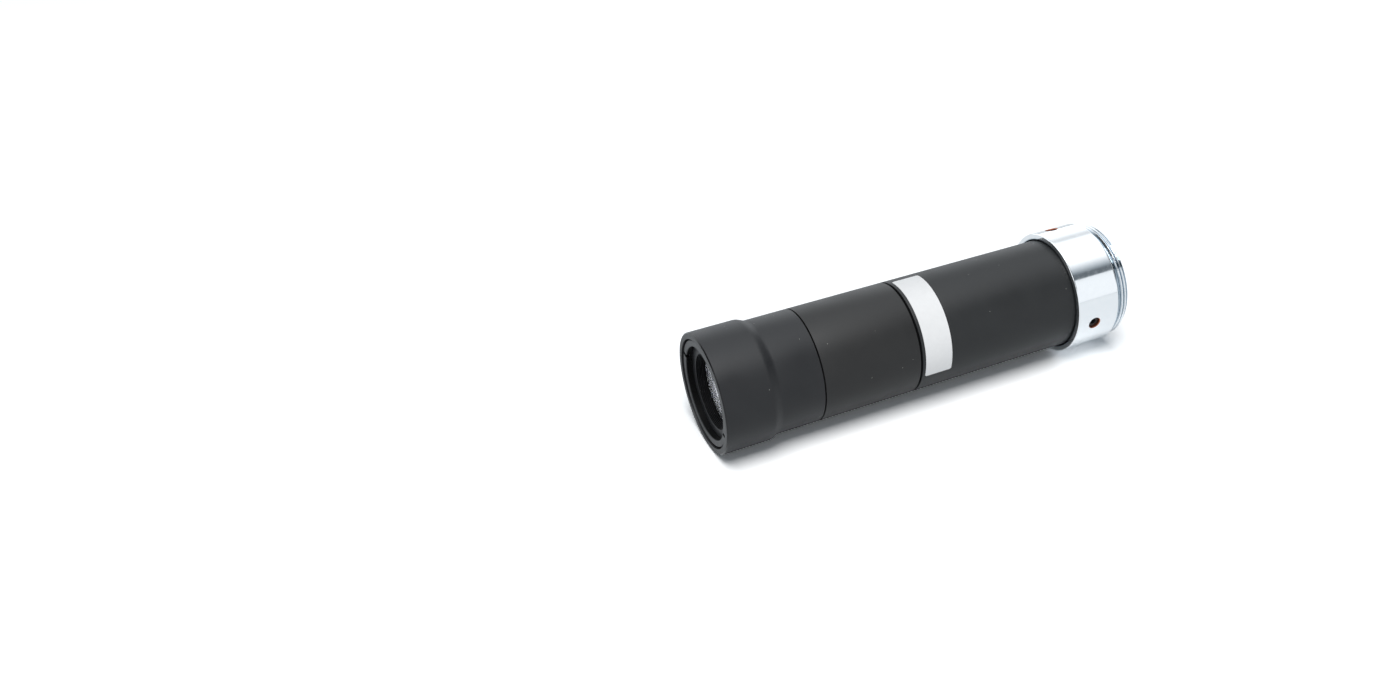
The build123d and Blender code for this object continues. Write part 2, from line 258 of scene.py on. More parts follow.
def anodised(name, dark, pale, low_rough, high_rough, dust_share):
    """Black anodised aluminium, bead blasted, with a few specks of dust."""
    material, tree, shader, where = new_material(name)
    grain = use_group(tree, blasted_grain, where, grain_per_metre=5200.0)
    specks = use_group(tree, dust_specks, where, cells_per_metre=480.0, share_of_cells=dust_share)
    body = blend_colours(tree, grain["Cloud"], dark, pale)
    dusted = blend_colours(tree, specks["Mask"], body, DUST_COLOUR)
    tree.links.new(dusted, shader.inputs["Base Color"])
    rough = math_node(tree, "MULTIPLY_ADD", grain["Cloud"], high_rough - low_rough, low_rough)
    tree.links.new(rough, shader.inputs["Roughness"])
    shader.inputs["IOR"].default_value = ANODISED_IOR
    bump(tree, shader, grain["Height"], strength=0.35, depth=0.04 * MM)
    return material


front_black = anodised("front_black", (0.0100, 0.0104, 0.0120), (0.0140, 0.0145, 0.0162), 0.40, 0.47, 0.95)
# Painted shade: the rim's chamfer gets a far darker copy of the black, for the dark line along the edge;
# its lower roughness is real.
edge_painted_dark = anodised("edge_painted_dark", (0.003, 0.003, 0.0035), (0.004, 0.004, 0.0045), 0.08, 0.14, 0.0)

front_low, front_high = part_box("front_barrel")
middle_low, middle_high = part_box("middle_barrel")
tube_radius = middle_high.x
head_radius = front_high.x
rim_height = front_high.z
head_length = 10.0 * MM
neck_length = 2.4 * MM
edge_cut = 0.22 * MM
rim_gap = 0.22 * MM
rim_gap_depth = 0.9 * MM
fine_ease = 0.05 * MM
seam_relief = 0.15 * MM
thread_runout = 0.2 * MM
lip_thickness = 1.4 * MM
joint_radius = tube_radius - 1.1 * MM
seam_floor = joint_radius + 0.1 * MM
rim_thread_radius = head_radius - 1.5 * MM
cell_radius = rim_thread_radius - 0.95 * MM
lip_radius = cell_radius - 1.0 * MM
spacer_low, spacer_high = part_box("front_spacer_ring")
baffle_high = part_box("front_baffle_ring")[1]
objective_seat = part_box("objective_flint_lens")[0].z + 0.41 * MM
lip_back = objective_seat - lip_thickness
neck_top = rim_height - head_length


def neck_points(steps=24):
    """The S-curve from the head down to the tube, as a smooth cosine ease."""
    points = []
    for step in range(steps + 1):
        t = step / steps
        drop = (1 - math.cos(math.pi * t)) / 2
        radius = head_radius + (tube_radius - head_radius) * drop
        points.append((radius, neck_top - neck_length * t, 0))
    return points


front_outline = eased([
    (head_radius - edge_cut, rim_height, 0),
    (head_radius, rim_height - edge_cut, 0),
    *neck_points(),
    (tube_radius, front_low.z + seam_relief, 0.06 * MM),
    (seam_floor, front_low.z + seam_relief, 0),
    (seam_floor, front_low.z, 0),
    (joint_radius, front_low.z, 0),
    (joint_radius, baffle_high.z, 0),
    (cell_radius, baffle_high.z, 0),
    (cell_radius, lip_back, fine_ease),
    (lip_radius, lip_back, fine_ease),
    (lip_radius, objective_seat, 0),
    (cell_radius, objective_seat, 0),
    (cell_radius, spacer_low.z - thread_runout, 0),
    (rim_thread_radius, spacer_low.z - thread_runout, 0),
    (rim_thread_radius, rim_height - rim_gap_depth, 0),
    (rim_thread_radius + rim_gap, rim_height - rim_gap_depth, 0),
    (rim_thread_radius + rim_gap, rim_height, fine_ease),
])


STEEP = 0.5
NEARLY_FLAT = 0.9


def dress_cut_edges(mesh, main, edge, height):
    """Gives the narrow chamfer cut at this height a smoother and far darker copy of the barrel's black: the
    smoother finish reflects the room, and the darker colour is a painted dark line along the rim's edge.
    """
    mesh.materials.append(main)
    mesh.materials.append(edge)
    for face in mesh.polygons:
        slanted = STEEP < abs(face.normal.z) < NEARLY_FLAT
        if slanted and abs(face.center.z - height) < edge_cut:
            face.material_index = 1


front_mesh = turned_mesh("front_barrel_shell", front_outline)
dress_cut_edges(front_mesh, front_black, edge_painted_dark, rim_height)
place("front_barrel_shell", front_mesh, None, "black_anodised", "front_barrel")


# Front retaining ring
# A black ring screwed into the rim to hold the objective. Two narrow slots on
# one diameter take the fitter's spanner.

FACET_TILT = 0.06
WELD = 1e-7


def true_normals(mesh):
    """Gives faces that were turned about the optical axis the exact normals of the round surface."""
    corner_normals = []
    for face in mesh.polygons:
        middle = Vector((face.center.x, face.center.y, 0))
        outward = middle.normalized()
        sideways = face.normal.dot(Vector((-outward.y, outward.x, 0)))
        turned = abs(sideways) < FACET_TILT
        radial_part = face.normal.dot(outward)
        for corner in face.vertices:
            place_of = mesh.vertices[corner].co
            spoke = Vector((place_of.x, place_of.y, 0)).normalized()
            exact = spoke * radial_part + Vector((0, 0, face.normal.z))
            corner_normals.append(exact.normalized() if turned else face.normal.copy())
    mesh.shade_smooth()
    mesh.normals_split_custom_set(corner_normals)


def smooth_copy(node, name):
    """A merged copy of a CAD node's mesh with true normals on its turned faces."""
    form = bmesh.new()
    form.from_mesh(nodes[node].data)
    bmesh.ops.remove_doubles(form, verts=form.verts, dist=WELD)
    mesh = bpy.data.meshes.new(name)
    form.to_mesh(mesh)
    form.free()
    true_normals(mesh)
    return mesh


def dress_bores(mesh, face_finish, bore_shade):
    """Gives a ring's flat faces one finish and its walls round the axis a far darker copy of it, a painted
    shade in the bores.
    """
    mesh.materials.clear()
    mesh.materials.append(face_finish)
    mesh.materials.append(bore_shade)
    for face in mesh.polygons:
        if abs(face.normal.z) < STEEP:
            face.material_index = 1


ring_black = anodised("ring_black", (0.014, 0.0145, 0.0165), (0.019, 0.0195, 0.022), 0.36, 0.44, 0.02)
# Painted shade: the bore walls are black anodised, but this copy is far darker than the ring's faces and
# reflects less, for the shade inside the bores.
bore_shade_black = anodised("bore_shade_black", (0.0022, 0.0022, 0.0024), (0.0032, 0.0032, 0.0034), 0.5, 0.62, 0.0)
DULL_IOR = 1.22
bore_shade_black.node_tree.nodes["Principled BSDF"].inputs["IOR"].default_value = DULL_IOR
front_ring = smooth_copy("front_retaining_ring", "front_ring")
dress_bores(front_ring, ring_black, bore_shade_black)
place("front_ring", front_ring, None, "black_anodised", "front_retaining_ring")


# Front spacer ring
# The flat step behind the retaining ring. Its bore is cut with fine grooves
# against stray light, and its rear edge presses on the glass.

GROOVE_COUNT = 6
spacer_bore = spacer_high.x - 3.25 * MM
groove_pitch = (spacer_high.z - spacer_low.z) / GROOVE_COUNT
groove_depth = 0.14 * MM
spacer_corners = [
    (spacer_high.x, spacer_low.z, 0),
    (spacer_high.x, spacer_high.z, 0),
    (spacer_bore, spacer_high.z, 0.04 * MM),
]
for number in range(1, GROOVE_COUNT):
    groove = spacer_high.z - number * groove_pitch
    spacer_corners += [
        (spacer_bore, groove + groove_pitch / 4, 0),
        (spacer_bore + groove_depth, groove, 0),
        (spacer_bore, groove - groove_pitch / 4, 0),
    ]
spacer_corners.append((spacer_bore, spacer_low.z, 0))
front_spacer = turned_mesh("front_spacer", eased(spacer_corners))
dress_bores(front_spacer, ring_black, bore_shade_black)
place("front_spacer", front_spacer, None, "inner_black", "front_spacer_ring")


# The glass
# Six ground and polished elements: a cemented pair in front, a relay lens
# before the stop, a cemented pair behind it and the last lens.

def sag(radius, curve):
    """How far a spherical surface lies behind its vertex; a flat one has no curve."""
    return curve - math.copysign(math.sqrt(curve ** 2 - radius ** 2), curve) if curve else 0.0


def lens_outline(radius, vertex, thickness, front_curve, rear_curve, land=0.0, steps=64):
    """Half the section of one element, from its front vertex out to the edge and back to the rear one."""
    face_radius = radius - land
    front = [face_radius * step / steps for step in range(steps + 1)]
    rear = [radius * step / steps for step in range(steps, -1, -1)]
    points = [(r, vertex - sag(r, front_curve)) for r in front]
    if land:
        points.append((radius, vertex - sag(face_radius, front_curve)))
    return points + [(r, vertex - thickness - sag(r, rear_curve)) for r in rear]


POLISH_HAZE = 0.002


def coated_glass(name, index, tint):
    """Polished optical glass with a faint coloured antireflection coating."""
    material, tree, shader, where = new_material(name)
    haze = noise(tree, where, 90.0, 2.0)
    rough = math_node(tree, "MULTIPLY_ADD", haze, POLISH_HAZE, 0.0)
    tree.links.new(rough, shader.inputs["Roughness"])
    shader.inputs["Base Color"].default_value = (0.99, 0.99, 1.0, 1.0)
    shader.inputs["Transmission Weight"].default_value = 1.0
    shader.inputs["IOR"].default_value = index
    shader.inputs["Specular Tint"].default_value = (*tint, 1.0)
    return material


front_glass = coated_glass("front_glass", 1.9, (0.74, 0.74, 1.0))
inner_glass = coated_glass("inner_glass", 1.6, (0.85, 0.9, 1.0))
front_shader = front_glass.node_tree.nodes["Principled BSDF"]
front_shader.inputs["Coat Weight"].default_value = 1.0
front_shader.inputs["Coat IOR"].default_value = 2.2
front_shader.inputs["Coat Roughness"].default_value = 0.0

objective_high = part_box("objective_crown_lens")[1]
relay_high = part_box("relay_lens")[1]
rear_crown_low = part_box("rear_crown_lens")[0]
image_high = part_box("image_side_lens")[1]
cement = 0.02 * MM
# Each row: front vertex, then thickness, front curve, rear curve and land in mm, and the glass.
elements = {
    "objective_crown_lens": (objective_high.z, 5.0, 38.0, -34.0, 0.0, front_glass),
    "objective_flint_lens": (objective_high.z - 5.0 * MM - cement, 2.0, -34.0, -100.0, 0.0, inner_glass),
    "relay_lens": (relay_high.z, 3.4, 45.0, None, 0.0, inner_glass),
    "rear_crown_lens": (rear_crown_low.z + 5.2 * MM, 5.2, 30.0, -35.0, 0.0, inner_glass),
    "rear_flint_lens": (rear_crown_low.z + 7.0 * MM + cement, 1.8, -60.0, 30.0, 0.9, inner_glass),
    "image_side_lens": (image_high.z, 3.2, 50.0, None, 0.0, inner_glass),
}
for node, (vertex, thickness, front_curve, rear_curve, land, glass) in elements.items():
    outline = lens_outline(
        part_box(node)[1].x, vertex, thickness * MM, front_curve * MM,
        rear_curve * MM if rear_curve else None, land * MM,
    )
    mesh = turned_mesh(node + "_glass", outline, closed=False)
    place(node + "_glass", mesh, glass, "coated_glass", node)


# Inner rings, stop and spacer tube
# Turned parts that hold and shield the glass inside the barrels. They are
# anodised a dull black, so that no light gets round the stop.

inner_black = anodised("inner_black", (0.004, 0.004, 0.0045), (0.007, 0.007, 0.0075), 0.6, 0.72, 0.0)
for node in (
    "front_baffle_ring", "relay_retaining_ring", "aperture_stop", "stop_retaining_ring",
    "rear_spacer_tube", "rear_retaining_ring", "rear_baffle_ring",
):
    place(node + "_turned", smooth_copy(node, node + "_turned"), inner_black, "inner_black", node)


# Middle barrel
# The second black turning, with a spigot in front that screws into the front
# barrel and a socket behind for the rear barrel.

rear_low, rear_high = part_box("rear_barrel")
spigot_radius = joint_radius - 0.05 * MM
bore_radius = spigot_radius - 1.3 * MM
stage_lip = bore_radius - 1.2 * MM
stage_relief = stage_lip + 0.6 * MM
relay_seat = relay_high.z - 3.4 * MM
stop_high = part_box("aperture_stop")[1].z
middle_outline = eased([
    (spigot_radius, middle_high.z, 0),
    (spigot_radius, front_low.z, 0),
    (seam_floor, front_low.z, 0),
    (seam_floor, front_low.z - seam_relief, 0),
    (tube_radius, front_low.z - seam_relief, 0.06 * MM),
    (tube_radius, middle_low.z, 0.08 * MM),
    (joint_radius, middle_low.z, 0.03 * MM),
    (joint_radius, rear_high.z, 0),
    (bore_radius, rear_high.z, 0),
    (bore_radius, stop_high, 0),
    (stage_relief, stop_high, 0),
    (stage_relief, relay_seat - lip_thickness, 0),
    (stage_lip, relay_seat - lip_thickness, 0),
    (stage_lip, relay_seat, 0),
    (bore_radius, relay_seat, 0),
    (bore_radius, middle_high.z, 0),
])
middle_black = anodised(
    "middle_black", (0.0125, 0.0123, 0.0124), (0.0165, 0.0162, 0.0162), 0.41, 0.48, 0.45)
middle_mesh = turned_mesh("middle_barrel_shell", middle_outline)
place("middle_barrel_shell", middle_mesh, middle_black, "black_anodised", "middle_barrel")


# Rear barrel
# The longest black turning. Its spigot leaves an open groove at the second
# seam, and its far end has a groove for the collar's set screws.

collar_low, collar_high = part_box("mount_collar")
shoulder = middle_low.z - 0.5 * MM
screw_height = collar_high.z - 4.3 * MM
groove_half = 1.63 * MM
screw_groove_radius = tube_radius - 0.75 * MM
end_ease = 0.1 * MM
rear_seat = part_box("rear_flint_lens")[1].z
rear_outline = eased([
    (spigot_radius, rear_high.z, 0),
    (spigot_radius, shoulder, 0.03 * MM),
    (tube_radius, shoulder, end_ease),
    (tube_radius, screw_height + groove_half, 0),
    (screw_groove_radius, screw_height + groove_half, 0),
    (screw_groove_radius, screw_height - groove_half, 0),
    (tube_radius, screw_height - groove_half, 0),
    (tube_radius, rear_low.z, end_ease),
    (bore_radius, rear_low.z, end_ease),
    (bore_radius, rear_seat, 0),
    (stage_lip, rear_seat, 0),
    (stage_lip, rear_seat + lip_thickness, 0),
    (bore_radius, rear_seat + lip_thickness, 0),
    (bore_radius, rear_high.z, 0),
])
rear_black = anodised("rear_black", (0.0115, 0.0123, 0.0132), (0.0155, 0.0165, 0.0175), 0.41, 0.48, 0.3)
rear_mesh = turned_mesh("rear_barrel_shell", rear_outline)
place("rear_barrel_shell", rear_mesh, rear_black, "black_anodised", "rear_barrel")


# Label
# A strip of smooth white polyester stuck round the rear barrel, just behind
# the second seam. It is left bare.

LABEL_STEPS = 96
label_glue = 0.01 * MM
label_thickness = 0.1 * MM
label_corner = 0.35 * MM
label_low, label_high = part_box("label")
label_arc = math.radians(120.0)
label_middle = math.radians(224.0)


def label_mesh():
    """The wrapped strip, with rounded corners, closed all round."""
    inner = tube_radius + label_glue
    outer = inner + label_thickness
    form = bmesh.new()
    rows = []
    length = label_arc * tube_radius
    for step in range(LABEL_STEPS + 1):
        along = length * step / LABEL_STEPS
        edge = min(along, length - along)
        into_corner = max(label_corner - edge, 0)
        pull = label_corner - math.sqrt(max(label_corner ** 2 - into_corner ** 2, 0))
        angle = label_middle - label_arc / 2 + label_arc * step / LABEL_STEPS
        low, high = label_low.z + pull, label_high.z - pull
        ring = [(outer, low), (outer, high), (inner, high), (inner, low)]
        rows.append([form.verts.new((r * math.cos(angle), r * math.sin(angle), z)) for r, z in ring])
    for here, there in zip(rows, rows[1:]):
        for side in range(4):
            after = (side + 1) % 4
            form.faces.new((here[side], there[side], there[after], here[after]))
    form.faces.new(rows[0])
    form.faces.new(rows[-1][::-1])
    bmesh.ops.recalc_face_normals(form, faces=form.faces)
    mesh = bpy.data.meshes.new("label_strip")
    form.to_mesh(mesh)
    form.free()
    mesh.shade_smooth()
    mesh.set_sharp_from_angle(angle=math.radians(40))
    return mesh


def label_material():
    """White polyester film with a faint mottle in its topcoat."""
    material, tree, shader, where = new_material("white_label_film")
    mottle = spread(tree, noise(tree, where, 900.0), 0.3, 0.7)
    paper = blend_colours(tree, mottle, (0.93, 0.93, 0.93), (0.96, 0.96, 0.96))
    tree.links.new(paper, shader.inputs["Base Color"])
    rough = math_node(tree, "MULTIPLY_ADD", noise(tree, where, 1500.0), 0.12, 0.34)
    tree.links.new(rough, shader.inputs["Roughness"])
    bump(tree, shader, noise(tree, where, 2500.0), strength=0.1, depth=0.02 * MM)
    return material


place("label_strip", label_mesh(), label_material(), "white_label", "label")


# Mount shim
# A thin ring of spring steel between the rear barrel's end and the collar's
# shoulder, chosen at assembly to set the distance to the sensor.

def rolled_steel():
    """Bright cold-rolled strip, with a fine streak."""
    material, tree, shader, where = new_material("rolled_steel")
    streak = noise(tree, where, 3000.0, 2.0)
    tree.links.new(math_node(tree, "MULTIPLY_ADD", streak, 0.15, 0.25), shader.inputs["Roughness"])
    steel = blend_colours(tree, streak, (0.42, 0.41, 0.40), (0.52, 0.51, 0.50))
    tree.links.new(steel, shader.inputs["Base Color"])
    shader.inputs["Metallic"].default_value = 1.0
    return material


shim_ring = smooth_copy("mount_shim", "mount_shim_ring")
place("mount_shim_ring", shim_ring, rolled_steel(), "shim_steel", "mount_shim")


# Camera collar
# Turned brass with a bright plate. It slips over the rear barrel, three tapped
# holes take its set screws, and it ends in a relief and the camera's thread.

thread_radius = 12.7 * MM
collar_radius = collar_high.x
collar_bore = tube_radius + 0.05 * MM
camera_bore = tube_radius - 1.6 * MM
flange_height = collar_high.z - 10.4 * MM
shoulder_height = collar_high.z - 8.0 * MM
relief_radius = thread_radius - 0.6 * MM
thread_top = flange_height - 0.85 * MM
thread_root = thread_radius - 0.5 * MM
screw_count = 3
first_screw = math.radians(172.0)
hole_radius = 1.35 * MM
hole_depth = 2.4 * MM
hole_mouth = 0.15 * MM
MOUTH_FLARE = 1.9
HOLE_STEPS = 48
collar_ease = 0.28 * MM
# Radii at which the painted shade in the thread's roots begins and becomes full.
root_shade_start = thread_radius - 0.08 * MM
root_shade_end = thread_radius - 0.38 * MM


def bright_plate():
    """Bright plate over turned brass, with faint turning lines and wipe marks, and a painted shade in the
    thread: a darker blue-grey inside the crest radius.
    """
    material, tree, shader, where = new_material("bright_plate")
    stretch = tree.nodes.new("ShaderNodeMapping")
    stretch.inputs["Scale"].default_value = (1.0, 1.0, 14.0)
    tree.links.new(where, stretch.inputs["Vector"])
    lines = noise(tree, stretch.outputs[0], 900.0, 3.0, 0.6)
    smears = noise(tree, where, 700.0, 4.0, 0.6)
    rough = math_node(tree, "MULTIPLY_ADD", spread(tree, smears, 0.35, 0.7), 0.11, 0.04)
    tree.links.new(rough, shader.inputs["Roughness"])
    plate = blend_colours(tree, smears, (0.86, 0.88, 0.90), (0.93, 0.945, 0.955))
    flat = tree.nodes.new("ShaderNodeVectorMath")
    flat.operation = "MULTIPLY"
    flat.inputs[1].default_value = (1.0, 1.0, 0.0)
    tree.links.new(where, flat.inputs[0])
    radius = tree.nodes.new("ShaderNodeVectorMath")
    radius.operation = "LENGTH"
    tree.links.new(flat.outputs[0], radius.inputs[0])
    # Painted shade: inside the thread's crest radius the plate turns a darker blue-grey, for the shade in
    # the thread's roots; the relief, the thread's end face and the bore show it too.
    painted_root_shade = spread(tree, radius.outputs["Value"], root_shade_start, root_shade_end)
    tree.links.new(blend_colours(tree, painted_root_shade, plate, (0.34, 0.41, 0.47)), shader.inputs["Base Color"])
    shader.inputs["Metallic"].default_value = 1.0
    bump(tree, shader, lines, strength=0.08, depth=0.01 * MM)
    return material


def bare_brass():
    """The brass that the plating didn't reach, in the walls of the tapped holes."""
    material, tree, shader, where = new_material("bare_brass")
    tone = noise(tree, where, 2200.0, 2.0)
    metal = blend_colours(tree, tone, (0.38, 0.12, 0.07), (0.62, 0.26, 0.16))
    tree.links.new(metal, shader.inputs["Base Color"])
    tree.links.new(math_node(tree, "MULTIPLY_ADD", tone, 0.2, 0.28), shader.inputs["Roughness"])
    shader.inputs["Metallic"].default_value = 1.0
    return material


def hole_drill(angle):
    """A closed cutter for the tapped hole at this angle, with a flared mouth."""
    form = bmesh.new()
    rows = [
        (collar_radius - hole_depth, hole_radius), (collar_radius - hole_mouth, hole_radius),
        (collar_radius + hole_mouth, hole_radius + MOUTH_FLARE * hole_mouth),
    ]
    to_hole = Matrix.Rotation(angle, 3, "Z")
    rings = []
    for distance, radius in rows:
        ring = []
        for step in range(HOLE_STEPS):
            turn = 2 * math.pi * step / HOLE_STEPS
            local = Vector((distance, radius * math.cos(turn), radius * math.sin(turn)))
            ring.append(form.verts.new(to_hole @ local + Vector((0, 0, screw_height))))
        rings.append(ring)
    for low, high in zip(rings, rings[1:]):
        for step in range(HOLE_STEPS):
            after = (step + 1) % HOLE_STEPS
            form.faces.new((low[step], low[after], high[after], high[step]))
    form.faces.new(rings[0][::-1])
    form.faces.new(rings[-1])
    bmesh.ops.recalc_face_normals(form, faces=form.faces)
    mesh = bpy.data.meshes.new("drill")
    form.to_mesh(mesh)
    form.free()
    mesh.materials.append(bright)
    mesh.materials.append(brass)
    for face in mesh.polygons:
        face.material_index = 1
    cutter = bpy.data.objects.new("drill", mesh)
    bpy.context.scene.collection.objects.link(cutter)
    return cutter


def collar_mesh():
    """The turned collar with its tapped holes cut through the wall."""
    outline = eased([
        (collar_bore + 0.3 * MM, collar_high.z, 0),
        (collar_radius, collar_high.z, collar_ease),
        (collar_radius, flange_height, collar_ease),
        (relief_radius, flange_height, 0),
        (relief_radius, thread_top, 0),
        (thread_root, thread_top, 0),
        (thread_root, collar_low.z, 0.15 * MM),
        (camera_bore, collar_low.z, 0.2 * MM),
        (camera_bore, shoulder_height, fine_ease),
        (collar_bore, shoulder_height, 0),
        (collar_bore, collar_high.z - 0.4 * MM, 0),
    ])
    body = bpy.data.objects.new("collar_blank", turned_mesh("collar_blank", outline))
    body.data.materials.append(bright)
    body.data.materials.append(brass)
    bpy.context.scene.collection.objects.link(body)
    angles = [first_screw + number * 2 * math.pi / screw_count for number in range(screw_count)]
    cutters = [hole_drill(angle) for angle in angles]
    for cutter in cutters:
        cut = body.modifiers.new("tapped_hole", "BOOLEAN")
        cut.operation = "DIFFERENCE"
        cut.solver = "EXACT"
        cut.object = cutter
    graph = bpy.context.evaluated_depsgraph_get()
    mesh = bpy.data.meshes.new_from_object(body.evaluated_get(graph))
    for spare in (body, *cutters):
        bpy.data.objects.remove(spare)
    true_normals(mesh)
    return mesh


bright = bright_plate()
brass = bare_brass()
place("camera_collar", collar_mesh(), None, "bright_plate", "mount_collar")


# Camera thread
# One inch across with 32 threads an inch, right-hand, cut on the collar's nose.
# The ridge runs out at both ends.

THREADS_PER_INCH = 32
THREAD_AROUND = 257
THREAD_ROWS = 121
FLANK_GAIN = 1.28
ROOT_FLAT = -0.12
WHOLE_TURNS = 8.0
SLEEVE_SINK = -0.4
thread_margin = 0.02 * MM


def thread_tree():
    """A closed sleeve round the collar's nose whose outside follows a screw thread."""
    tree = bpy.data.node_groups.new("camera_thread", "GeometryNodeTree")
    sizes = [("Root radius", thread_root), ("Crest height", thread_radius - thread_root),
             ("Pitch", 25.4 * MM / THREADS_PER_INCH), ("Start", collar_low.z + thread_margin),
             ("Length", thread_top - collar_low.z - 2 * thread_margin),
             ("Run out", 0.45 * MM)]
    for label, value in sizes:
        tree.interface.new_socket(label, in_out="INPUT", socket_type="NodeSocketFloat")
    tree.interface.new_socket("Material", in_out="INPUT", socket_type="NodeSocketMaterial")
    tree.interface.new_socket("Geometry", in_out="OUTPUT", socket_type="NodeSocketGeometry")
    given = tree.nodes.new("NodeGroupInput").outputs
    grid = tree.nodes.new("GeometryNodeMeshGrid")
    grid.inputs["Size X"].default_value = 1.0
    grid.inputs["Size Y"].default_value = 1.0
    grid.inputs["Vertices X"].default_value = THREAD_AROUND
    grid.inputs["Vertices Y"].default_value = THREAD_ROWS
    position = tree.nodes.new("GeometryNodeInputPosition")
    split = tree.nodes.new("ShaderNodeSeparateXYZ")
    tree.links.new(position.outputs[0], split.inputs[0])

    def calc(operation, first, second=None, third=None, clamp=False):
        return math_node(tree, operation, first, second, third, clamp)

    turn = calc("ADD", split.outputs[0], 0.5)
    row = calc("MULTIPLY", calc("ADD", split.outputs[1], 0.5), float(THREAD_ROWS - 1))
    last = THREAD_ROWS - 2
    share = calc("DIVIDE", calc("SUBTRACT", row, 1.0), float(last - 2), clamp=True)
    closing = calc("GREATER_THAN", row, last + 0.5)
    share = calc("MULTIPLY", share, calc("SUBTRACT", 1.0, closing))
    inside = calc("MAXIMUM", calc("LESS_THAN", row, 0.5), calc("GREATER_THAN", row, last - 0.5))
    along = calc("MULTIPLY", share, given["Length"])
    height = calc("ADD", along, given["Start"])
    turns_up = calc("SUBTRACT", calc("DIVIDE", height, given["Pitch"]), turn)
    phase = calc("FRACT", calc("ADD", turns_up, WHOLE_TURNS))
    ridge = calc("SUBTRACT", 1.0, calc("ABSOLUTE", calc("MULTIPLY_ADD", phase, 2.0, -1.0)))
    ridge = calc("MULTIPLY_ADD", ridge, FLANK_GAIN, ROOT_FLAT, clamp=True)
    fade_in = calc("DIVIDE", along, given["Run out"], clamp=True)
    fade_out = calc("DIVIDE", calc("SUBTRACT", given["Length"], along), given["Run out"], clamp=True)
    ridge = calc("MULTIPLY", ridge, calc("MULTIPLY", fade_in, fade_out))
    radius = calc("ADD", given["Root radius"], calc("MULTIPLY", ridge, given["Crest height"]))
    hidden = calc("MULTIPLY", given["Crest height"], SLEEVE_SINK)
    radius = calc("ADD", radius, calc("MULTIPLY", inside, hidden))
    angle = calc("MULTIPLY", turn, 2 * math.pi)
    join = tree.nodes.new("ShaderNodeCombineXYZ")
    tree.links.new(calc("MULTIPLY", radius, calc("COSINE", angle)), join.inputs[0])
    tree.links.new(calc("MULTIPLY", radius, calc("SINE", angle)), join.inputs[1])
    tree.links.new(height, join.inputs[2])
    move = tree.nodes.new("GeometryNodeSetPosition")
    tree.links.new(grid.outputs["Mesh"], move.inputs["Geometry"])
    tree.links.new(join.outputs[0], move.inputs["Position"])
    weld = tree.nodes.new("GeometryNodeMergeByDistance")
    weld.inputs["Distance"].default_value = WELD
    realize = tree.nodes.new("GeometryNodeRealizeInstances")
    dress = tree.nodes.new("GeometryNodeSetMaterial")
    finish = tree.nodes.new("NodeGroupOutput")
    tree.links.new(move.outputs[0], weld.inputs["Geometry"])
    tree.links.new(weld.outputs[0], realize.inputs[0])
    tree.links.new(realize.outputs[0], dress.inputs["Geometry"])
    tree.links.new(given["Material"], dress.inputs["Material"])
    tree.links.new(dress.outputs[0], finish.inputs[0])
    return tree, dict(sizes)


def grown(name, tree, values, seed_mesh=None):
    """The plain mesh that a geometry tree makes with these inputs."""
    host = bpy.data.objects.new(name + "_host", seed_mesh or bpy.data.meshes.new(name + "_seed"))
    bpy.context.scene.collection.objects.link(host)
    modifier = host.modifiers.new(name, "NODES")
    modifier.node_group = tree
    for socket in tree.interface.items_tree:
        if socket.item_type == "SOCKET" and socket.in_out == "INPUT" and socket.name in values:
            modifier[socket.identifier] = values[socket.name]
    graph = bpy.context.evaluated_depsgraph_get()
    mesh = bpy.data.meshes.new_from_object(host.evaluated_get(graph))
    bpy.data.objects.remove(host)
    mesh.name = name
    return mesh


def facing_out(mesh):
    """Turns a closed mesh's faces outward."""
    form = bmesh.new()
    form.from_mesh(mesh)
    bmesh.ops.recalc_face_normals(form, faces=form.faces)
    form.to_mesh(mesh)
    form.free()


tree, sizes = thread_tree()
thread = grown("camera_thread", tree, {**sizes, "Material": bright})
facing_out(thread)
thread.shade_smooth()
thread.set_sharp_from_angle(angle=math.radians(50))
place("camera_thread", thread, bright, "bright_plate", "mount_collar")


# Set screws
# Three short grub screws in black oxide steel, with hexagon sockets. Their tips
# sit in the rear barrel's groove, so the collar can be turned and locked.

SCREW_STEPS = 36
SOCKET_FLARE = 1.04
socket_cut = 0.06 * MM


def screw_blank():
    """One grub screw lying along +X, its socket facing out, at the first screw's distance."""
    radius = 1.33 * MM
    tip = screw_groove_radius + 0.02 * MM
    length = 1.6 * MM
    edge = 0.15 * MM
    socket = 1.3 * MM / 2 / math.cos(math.pi / 6)
    depth = 0.9 * MM
    form = bmesh.new()

    def ring(distance, size, sides_like_hexagon=False):
        verts = []
        for step in range(SCREW_STEPS):
            turn = 2 * math.pi * step / SCREW_STEPS
            if sides_like_hexagon:
                side = (turn + math.pi / 6) % (math.pi / 3) - math.pi / 6
                size_here = size * math.cos(math.pi / 6) / math.cos(side)
            else:
                size_here = size
            verts.append(form.verts.new((distance, size_here * math.cos(turn), size_here * math.sin(turn))))
        return verts

    rings = [
        ring(tip, radius - edge), ring(tip + edge, radius), ring(tip + length - edge, radius),
        ring(tip + length, radius - edge), ring(tip + length, socket * SOCKET_FLARE, True),
        ring(tip + length - socket_cut, socket, True), ring(tip + length - depth, socket, True),
    ]
    for low, high in zip(rings, rings[1:]):
        for step in range(SCREW_STEPS):
            after = (step + 1) % SCREW_STEPS
            form.faces.new((low[step], low[after], high[after], high[step]))
    form.faces.new(rings[0][::-1])
    form.faces.new(rings[-1])
    bmesh.ops.recalc_face_normals(form, faces=form.faces)
    mesh = bpy.data.meshes.new("screw_blank")
    form.to_mesh(mesh)
    form.free()
    return mesh


